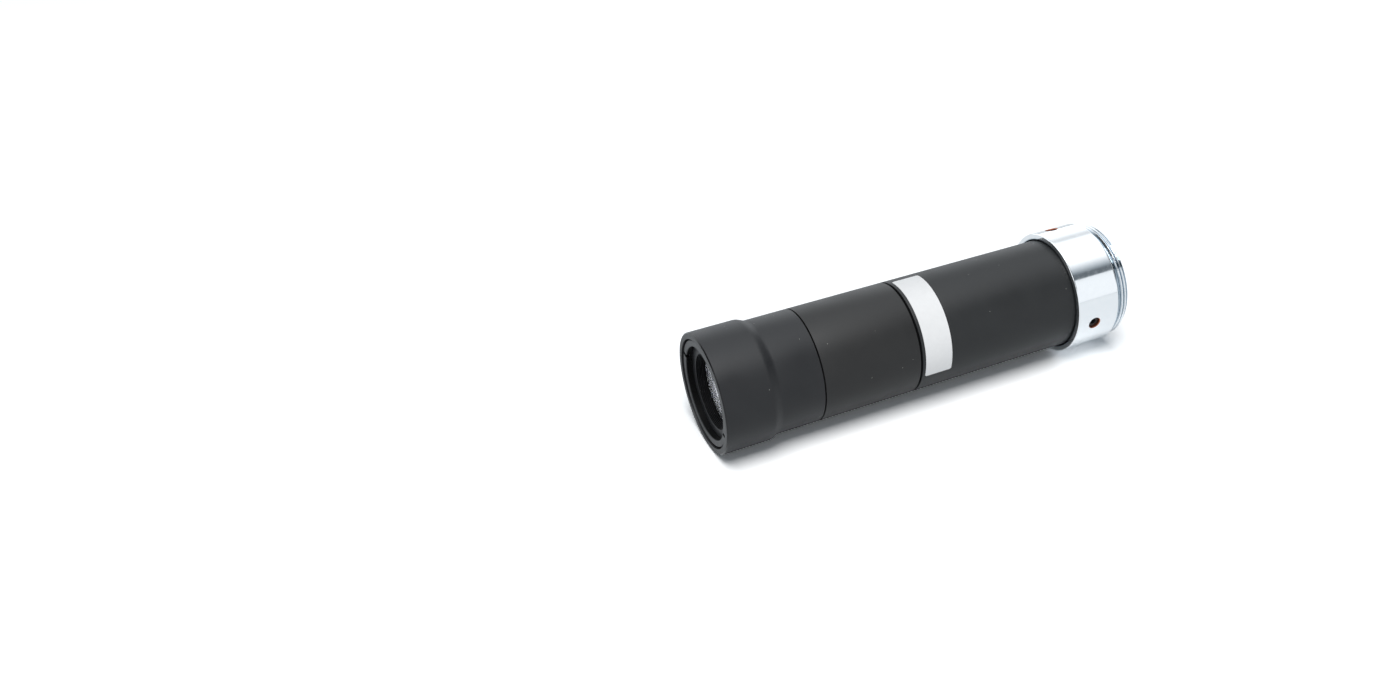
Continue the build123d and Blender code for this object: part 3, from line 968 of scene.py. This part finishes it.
def screw_tree():
    """Copies the screw round the collar, evenly spaced."""
    tree = bpy.data.node_groups.new("screws_round_collar", "GeometryNodeTree")
    tree.interface.new_socket("Geometry", in_out="INPUT", socket_type="NodeSocketGeometry")
    tree.interface.new_socket("Count", in_out="INPUT", socket_type="NodeSocketInt")
    tree.interface.new_socket("First angle", in_out="INPUT", socket_type="NodeSocketFloat")
    tree.interface.new_socket("Height", in_out="INPUT", socket_type="NodeSocketFloat")
    tree.interface.new_socket("Material", in_out="INPUT", socket_type="NodeSocketMaterial")
    tree.interface.new_socket("Geometry", in_out="OUTPUT", socket_type="NodeSocketGeometry")
    given = tree.nodes.new("NodeGroupInput").outputs
    points = tree.nodes.new("GeometryNodeMeshLine")
    tree.links.new(given["Count"], points.inputs["Count"])
    points.inputs["Offset"].default_value = (0, 0, 0)
    centre = tree.nodes.new("ShaderNodeCombineXYZ")
    tree.links.new(given["Height"], centre.inputs["Z"])
    tree.links.new(centre.outputs[0], points.inputs["Start Location"])
    number = tree.nodes.new("GeometryNodeInputIndex").outputs[0]
    step = math_node(tree, "DIVIDE", 2 * math.pi, given["Count"])
    angle = math_node(tree, "MULTIPLY_ADD", number, step, given["First angle"])
    turn = tree.nodes.new("ShaderNodeCombineXYZ")
    tree.links.new(angle, turn.inputs["Z"])
    copies = tree.nodes.new("GeometryNodeInstanceOnPoints")
    tree.links.new(points.outputs["Mesh"], copies.inputs["Points"])
    tree.links.new(given["Geometry"], copies.inputs["Instance"])
    tree.links.new(turn.outputs[0], copies.inputs["Rotation"])
    realize = tree.nodes.new("GeometryNodeRealizeInstances")
    dress = tree.nodes.new("GeometryNodeSetMaterial")
    finish = tree.nodes.new("NodeGroupOutput")
    tree.links.new(copies.outputs[0], realize.inputs[0])
    tree.links.new(realize.outputs[0], dress.inputs["Geometry"])
    tree.links.new(given["Material"], dress.inputs["Material"])
    tree.links.new(dress.outputs[0], finish.inputs[0])
    return tree


def black_oxide():
    """Steel with a thin black oxide."""
    material, tree, shader, where = new_material("black_oxide")
    tone = noise(tree, where, 2600.0, 2.0)
    black = blend_colours(tree, tone, (0.006, 0.006, 0.007), (0.018, 0.017, 0.017))
    tree.links.new(black, shader.inputs["Base Color"])
    tree.links.new(math_node(tree, "MULTIPLY_ADD", tone, 0.25, 0.35), shader.inputs["Roughness"])
    return material


oxide = black_oxide()
screws = grown("set_screws_cut", screw_tree(), {
    "Count": screw_count, "First angle": first_screw, "Height": screw_height, "Material": oxide,
}, screw_blank())
screws.shade_smooth()
screws.set_sharp_from_angle(angle=math.radians(28))
place("set_screws_cut", screws, oxide, "screw_steel", "set_screws")


# Studio
# The lens lies on a plain pale table that touches its head and its collar, on
# the lens's +Y side. One softbox hangs over it. The room is white to the camera,
# and has a level of its own for reflections, for glass and for diffuse light.

table_reach = 0.9
touch_inset = 0.3 * MM
collar_touch = Vector((0, collar_radius, collar_high.z - touch_inset))
head_touch = Vector((0, head_radius, rim_height - touch_inset))
slope = (head_touch - collar_touch) / (head_touch.z - collar_touch.z)
table_form = bmesh.new()
corners = []
for side, end in ((-1, -1), (1, -1), (1, 1), (-1, 1)):
    spot = collar_touch + slope * (end * table_reach - collar_touch.z)
    corners.append(table_form.verts.new((side * table_reach, spot.y, spot.z)))
table_form.faces.new(corners)
table_mesh = bpy.data.meshes.new("table")
table_form.to_mesh(table_mesh)
table_form.free()
table = bpy.data.objects.new("table", table_mesh)
bpy.context.scene.collection.objects.link(table)


TABLE_COLOUR = (0.78, 0.79, 0.80)
TABLE_TO_CAMERA = (1.58, 1.58, 1.58)
TABLE_IN_REFLECTIONS = (1.08, 1.11, 1.13)


def table_material():
    """Matte white, raised to white for the camera and in reflections, and clear from below."""
    material = bpy.data.materials.new("white_table")
    material.use_nodes = True
    tree = material.node_tree
    tree.nodes.remove(tree.nodes["Principled BSDF"])
    shader = tree.nodes.new("ShaderNodeBsdfDiffuse")
    path = tree.nodes.new("ShaderNodeLightPath")
    colour = blend_colours(tree, path.outputs["Is Camera Ray"], TABLE_COLOUR, TABLE_TO_CAMERA)
    colour = blend_colours(tree, path.outputs["Is Glossy Ray"], colour, TABLE_IN_REFLECTIONS)
    tree.links.new(colour, shader.inputs["Color"])
    clear = tree.nodes.new("ShaderNodeBsdfTransparent")
    mix = tree.nodes.new("ShaderNodeMixShader")
    side = tree.nodes.new("ShaderNodeNewGeometry")
    tree.links.new(side.outputs["Backfacing"], mix.inputs["Fac"])
    tree.links.new(shader.outputs[0], mix.inputs[1])
    tree.links.new(clear.outputs[0], mix.inputs[2])
    tree.links.new(mix.outputs[0], tree.nodes["Material Output"].inputs["Surface"])
    return material


table_mesh.materials.append(table_material())
table.visible_transmission = False

lens_middle = Vector((0, 0, rim_height / 2))


def soft_light(name, direction, distance, width, length, radiance):
    """A softbox that faces the lens from this direction and has this radiance."""
    lamp = bpy.data.lights.new(name, "AREA")
    lamp.shape = "RECTANGLE"
    lamp.size = width
    lamp.size_y = length
    lamp.energy = radiance * math.pi * width * length
    holder = bpy.data.objects.new(name, lamp)
    toward = Vector(direction).normalized()
    holder.location = lens_middle + toward * distance
    holder.rotation_euler = toward.to_track_quat("Z", "Y").to_euler()
    bpy.context.scene.collection.objects.link(holder)


soft_light("overhead_softbox", (-0.33, -1.0, 0.18), distance=1.4, width=0.84, length=0.72, radiance=7.6)

world = bpy.data.worlds.new("white_room")
bpy.context.scene.world = world
world.use_nodes = True
room = world.node_tree
backdrop = room.nodes["Background"]
path = room.nodes.new("ShaderNodeLightPath")
toward = room.nodes.new("ShaderNodeTexCoord").outputs["Generated"]
split = room.nodes.new("ShaderNodeSeparateXYZ")
room.links.new(toward, split.inputs[0])
across, upright, along = split.outputs
side_part = math_node(room, "MULTIPLY", across, -1.0)
up_part = math_node(room, "MULTIPLY", upright, -1.0)
lean = math_node(room, "DEGREES", math_node(room, "ARCTAN2", side_part, up_part))


def raised(value, gain, base):
    """A mask times its gain, on top of a base level."""
    return math_node(room, "MULTIPLY_ADD", value, gain, base)


def both(first, second):
    """The product of two masks, or of a level and a mask."""
    return math_node(room, "MULTIPLY", first, second)


def dimmed(level, mask, share):
    """A level that loses this share where the mask holds."""
    return both(level, raised(mask, -share, 1.0))


# The lean is in degrees from straight up toward the viewer's side. The gap is the dark
# stripe between the panel overhead and the pale side of the room.
GAP_START = 22.0
GAP_END = 47.5
panel = raised(spread(room, lean, GAP_START, 0.0), 1.0, 0.95)
panel = raised(spread(room, lean, -15.0, -50.0), -0.6, panel)
panel = raised(spread(room, lean, GAP_END - 5.0, GAP_END + 10.0), 0.08, panel)
gap = both(spread(room, lean, GAP_START, GAP_START + 17.0), spread(room, lean, GAP_END + 1.5, GAP_END))
dark_front = both(spread(room, along, 0.42, 0.5), spread(room, up_part, 0.3, 0.4))
dark_rear = both(spread(room, along, -0.66, -0.76), spread(room, up_part, 0.1, 0.25))
dark = math_node(room, "MAXIMUM", dark_front, dark_rear)
faint = both(spread(room, lean, -60.0, -46.0), spread(room, lean, -31.0, -42.0))
glossy_level = dimmed(panel, gap, share=0.82)
glossy_level = dimmed(glossy_level, dark, share=0.88)
glossy_level = dimmed(glossy_level, faint, share=0.42)

front_card = spread(room, along, 0.5, 0.75)
card_level = raised(spread(room, across, 0.25, 0.6), 0.5, 0.5)
glass_level = raised(front_card, card_level, 0.5)
diffuse_level = raised(spread(room, lean, 40.0, 80.0), 0.45, 0.15)

room_level = both(path.outputs["Is Glossy Ray"], glossy_level)
room_level = raised(path.outputs["Is Transmission Ray"], glass_level, room_level)
room_level = raised(path.outputs["Is Diffuse Ray"], diffuse_level, room_level)
room_level = math_node(room, "MAXIMUM", room_level, path.outputs["Is Camera Ray"])
room.links.new(room_level, backdrop.inputs["Strength"])

ROOM_WHITE = (1.0, 1.0, 1.0)
ROOM_COOL = (0.84, 0.98, 1.10)
cool_reflections = both(raised(gap, 0.7, 0.3), path.outputs["Is Glossy Ray"])
cool_shadows = both(spread(room, lean, 80.0, 40.0), path.outputs["Is Diffuse Ray"])
cool = math_node(room, "MAXIMUM", cool_reflections, cool_shadows)
room.links.new(blend_colours(room, cool, ROOM_WHITE, ROOM_COOL), backdrop.inputs["Color"])

scene = bpy.context.scene
scene.view_settings.view_transform = "Standard"


# Camera
# It looks down on the lying lens from its front and viewer's side. The shift
# sets the lens to the right of the picture, as in the photograph.

PHOTO_WIDTH = 1400
PHOTO_CENTRE_X = 906
PHOTO_FOCAL = 1311.75
SENSOR_WIDTH = 36.0
camera_rise = math.radians(33.5)
camera_swing = math.radians(28.71)
camera_distance = 281.7 * MM
aim = Vector((0, 4.1 * MM, 49.1 * MM))
camera_data = bpy.data.cameras.new("camera")
camera_data.sensor_width = SENSOR_WIDTH
camera_data.lens = SENSOR_WIDTH * PHOTO_FOCAL / PHOTO_WIDTH
camera_data.shift_x = (PHOTO_WIDTH / 2 - PHOTO_CENTRE_X) / PHOTO_WIDTH
camera_data.clip_start = 0.01
camera_data.clip_end = 20.0
camera = bpy.data.objects.new("camera", camera_data)
table_up = Vector((0, -1, 0))
backward = (
    Vector((-math.cos(camera_swing), 0, math.sin(camera_swing))) * math.cos(camera_rise)
    + table_up * math.sin(camera_rise)
)
right = table_up.cross(backward).normalized()
upward = backward.cross(right)
turn = Matrix((right, upward, backward)).transposed()
camera.matrix_world = Matrix.Translation(aim + backward * camera_distance) @ turn.to_4x4()
scene.collection.objects.link(camera)
scene.camera = camera
